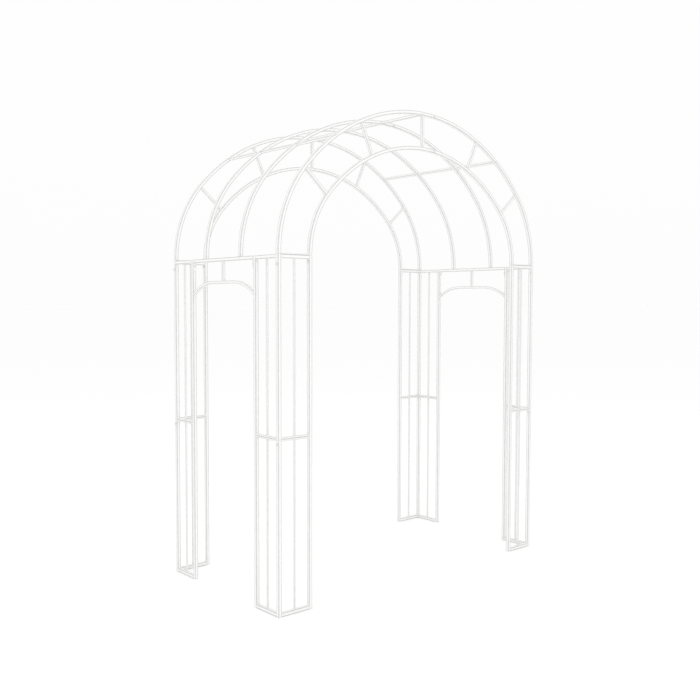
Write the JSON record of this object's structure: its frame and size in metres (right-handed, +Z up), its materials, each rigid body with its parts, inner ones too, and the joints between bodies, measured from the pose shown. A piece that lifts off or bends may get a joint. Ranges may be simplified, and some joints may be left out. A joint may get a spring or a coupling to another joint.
{
  "type": "metal trellis arch",
  "caption": "Free-standing garden arch of welded square steel tube: L-shaped trellis legs, arched rails between them and a ribbed barrel roof, bolted together from sections.",
  "frame": {"origin": "on the ground, in the middle of the four legs", "axes": "+Z up, +X to the right across the walk-through, +Y from the front to the back"},
  "size_m": [2.047, 1.047, 2.6509],
  "materials": {
    "powder_coat": "white polyester powder coat with a fine orange-peel texture, satin",
    "bolt_paint": "white enamel over M6 bolts, washers and cap nuts, worn a little on the corners of the nuts"
  },
  "bodies": {
    "root": {"back_arch_left_half": "powder_coat", "back_arch_right_half": "powder_coat", "back_inner_splice_bolt": "bolt_paint", "back_left_corner_top_bolt": "bolt_paint", "back_left_inner_top_bolt": "bolt_paint", "back_left_leg_joint_bolt": "bolt_paint", "back_left_lower_leg": "powder_coat", "back_left_purlin_bolt": "bolt_paint", "back_left_side_frame_bolt": "bolt_paint", "back_left_upper_leg": "powder_coat", "back_outer_splice_bolt": "bolt_paint", "back_ridge_purlin_bolt": "bolt_paint", "back_right_corner_top_bolt": "bolt_paint", "back_right_inner_top_bolt": "bolt_paint", "back_right_leg_joint_bolt": "bolt_paint", "back_right_lower_leg": "powder_coat", "back_right_purlin_bolt": "bolt_paint", "back_right_side_frame_bolt": "bolt_paint", "back_right_upper_leg": "powder_coat", "front_arch_left_half": "powder_coat", "front_arch_right_half": "powder_coat", "front_inner_splice_bolt": "bolt_paint", "front_left_corner_top_bolt": "bolt_paint", "front_left_inner_top_bolt": "bolt_paint", "front_left_leg_joint_bolt": "bolt_paint", "front_left_lower_leg": "powder_coat", "front_left_purlin_bolt": "bolt_paint", "front_left_side_frame_bolt": "bolt_paint", "front_left_upper_leg": "powder_coat", "front_outer_splice_bolt": "bolt_paint", "front_ridge_purlin_bolt": "bolt_paint", "front_right_corner_top_bolt": "bolt_paint", "front_right_inner_top_bolt": "bolt_paint", "front_right_leg_joint_bolt": "bolt_paint", "front_right_lower_leg": "powder_coat", "front_right_purlin_bolt": "bolt_paint", "front_right_side_frame_bolt": "bolt_paint", "front_right_upper_leg": "powder_coat", "left_purlin_bay_1": "powder_coat", "left_purlin_bay_2": "powder_coat", "left_purlin_bay_3": "powder_coat", "left_side_frame": "powder_coat", "middle_1_outer_splice_bolt": "bolt_paint", "middle_1_rib_left_half": "powder_coat", "middle_1_rib_right_half": "powder_coat", "middle_2_outer_splice_bolt": "bolt_paint", "middle_2_rib_left_half": "powder_coat", "middle_2_rib_right_half": "powder_coat", "ridge_purlin_bay_1": "powder_coat", "ridge_purlin_bay_2": "powder_coat", "ridge_purlin_bay_3": "powder_coat", "right_purlin_bay_1": "powder_coat", "right_purlin_bay_2": "powder_coat", "right_purlin_bay_3": "powder_coat", "right_side_frame": "powder_coat"}
  },
  "joints": []
}
